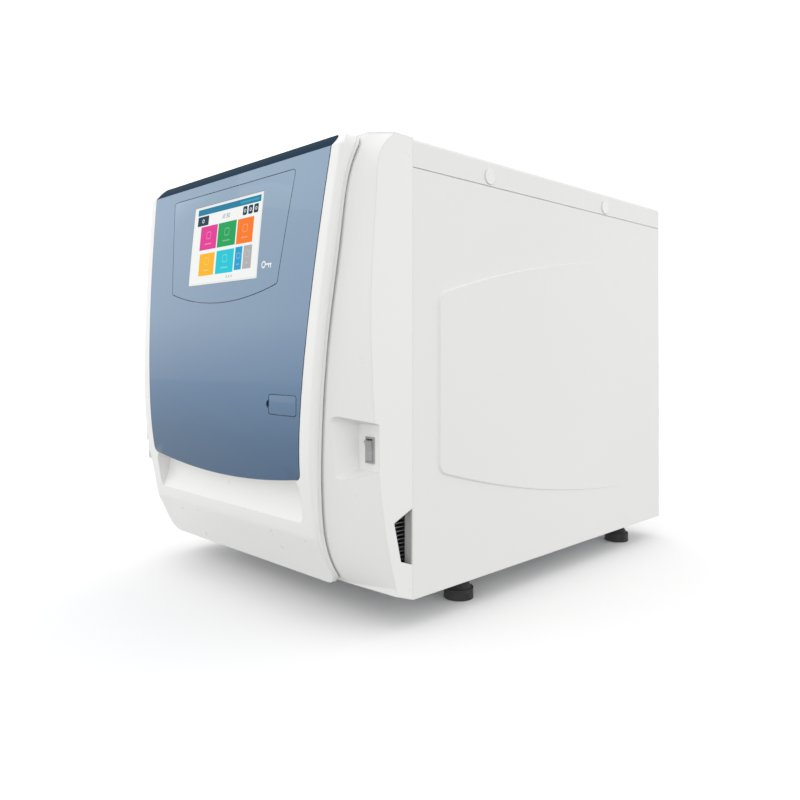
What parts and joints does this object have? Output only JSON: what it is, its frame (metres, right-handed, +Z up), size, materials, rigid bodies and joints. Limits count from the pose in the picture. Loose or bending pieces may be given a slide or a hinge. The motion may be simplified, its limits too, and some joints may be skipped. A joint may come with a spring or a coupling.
{
  "type": "benchtop autoclave",
  "caption": "Benchtop steam autoclave: white sheet casing, bulged front door with a blue touch-screen panel and grip trough, over a round steel chamber with trays.",
  "frame": {"origin": "under the middle of the whole object's box, on the surface it stands on", "axes": "+Z up; the door faces -Y; +X is to the right of someone facing the door"},
  "size_m": [0.444, 0.6543, 0.5],
  "materials": {
    "casing_white": "satin powder coat",
    "moulding_white": "satin moulding",
    "panel_blue": "gloss",
    "screen_glass": "gloss",
    "switch_grey": "satin",
    "dark_plastic": "matt",
    "rubber_black": "matt",
    "silicone": "matt",
    "stainless": "brushed",
    "zinc_steel": "galvanised",
    "aluminium": "satin",
    "brass": "satin",
    "copper": "satin",
    "felt": "matt",
    "board_green": "satin",
    "tank_plastic": "translucent"
  },
  "bodies": {
    "cabinet": {"base_pan": "zinc_steel", "side_panel_right": "casing_white", "side_panel_left": "casing_white", "top_cover": "casing_white", "rear_panel": "casing_white", "front_fascia": "moulding_white", "front_frame": "zinc_steel", "hinge_bracket": "stainless", "hinge_pin": "stainless", "strike_plate": "stainless", "cover_screws": "zinc_steel", "screw_caps": "moulding_white", "foot_pads": "rubber_black", "foot_studs": "zinc_steel", "power_switch_body": "dark_plastic", "chamber_vessel": "stainless", "chamber_flange": "stainless", "chamber_heater": "zinc_steel", "insulation_jacket": "felt", "chamber_saddles": "zinc_steel", "tray_rack": "stainless", "tray_lower": "aluminium", "tray_middle": "aluminium", "tray_upper": "aluminium", "clean_tank": "tank_plastic", "used_tank": "tank_plastic", "tank_shelf": "zinc_steel", "vacuum_pump": "aluminium", "steam_generator": "stainless", "valve_manifold": "brass", "condenser": "dark_plastic", "air_filter": "tank_plastic", "control_board": "board_green", "power_supply": "zinc_steel", "mains_inlet": "dark_plastic", "water_couplings": "stainless", "safety_valve": "brass", "rear_bumpers": "rubber_black", "steam_line": "copper", "drain_line": "silicone", "fan_housing": "dark_plastic", "fan_guard": "zinc_steel"},
    "power_rocker": {"power_rocker": "switch_grey"},
    "fill_hatch": {"fill_hatch": "casing_white"},
    "fan_rotor": {"fan_rotor": "dark_plastic"},
    "usb_flap": {"usb_flap": "panel_blue"},
    "lock_bar": {"lock_bar": "stainless"},
    "door": {"door_shell": "moulding_white", "door_panel": "panel_blue", "display_bezel": "panel_blue", "touch_screen": "screen_glass", "display_module": "board_green", "usb_port": "dark_plastic", "door_liner": "moulding_white", "door_arm": "stainless", "pressure_plate": "stainless", "door_gasket": "silicone", "lock_actuator": "dark_plastic"}
  },
  "joints": [
    {"name": "door_hinge", "type": "hinge", "parent": "cabinet", "child": "door", "pos_m": [-0.188, -0.3085, 0.19], "axis": [0, 0, -1], "range_deg": [0, 105]},
    {"name": "lock_slide", "type": "slide", "parent": "door", "child": "lock_bar", "axis": [1, 0, 0], "range_m": [0, 0.014]},
    {"name": "usb_flap_hinge", "type": "hinge", "parent": "door", "child": "usb_flap", "pos_m": [0.1528, -0.3273, 0.228], "axis": [0, 0, 1], "range_deg": [0, 85]},
    {"name": "power_rocker_pivot", "type": "hinge", "parent": "cabinet", "child": "power_rocker", "pos_m": [0.2075, -0.2765, 0.1855], "axis": [-1, 0, 0], "range_deg": [0, 16]},
    {"name": "fill_hatch_hinge", "type": "hinge", "parent": "cabinet", "child": "fill_hatch", "pos_m": [0, 0.2097, 0.5002], "axis": [-1, 0, 0], "range_deg": [0, 95]},
    {"name": "fan_spin", "type": "hinge", "parent": "cabinet", "child": "fan_rotor", "pos_m": [0.12, 0.2957, 0.12], "axis": [0, 1, 0], "continuous": true}
  ]
}
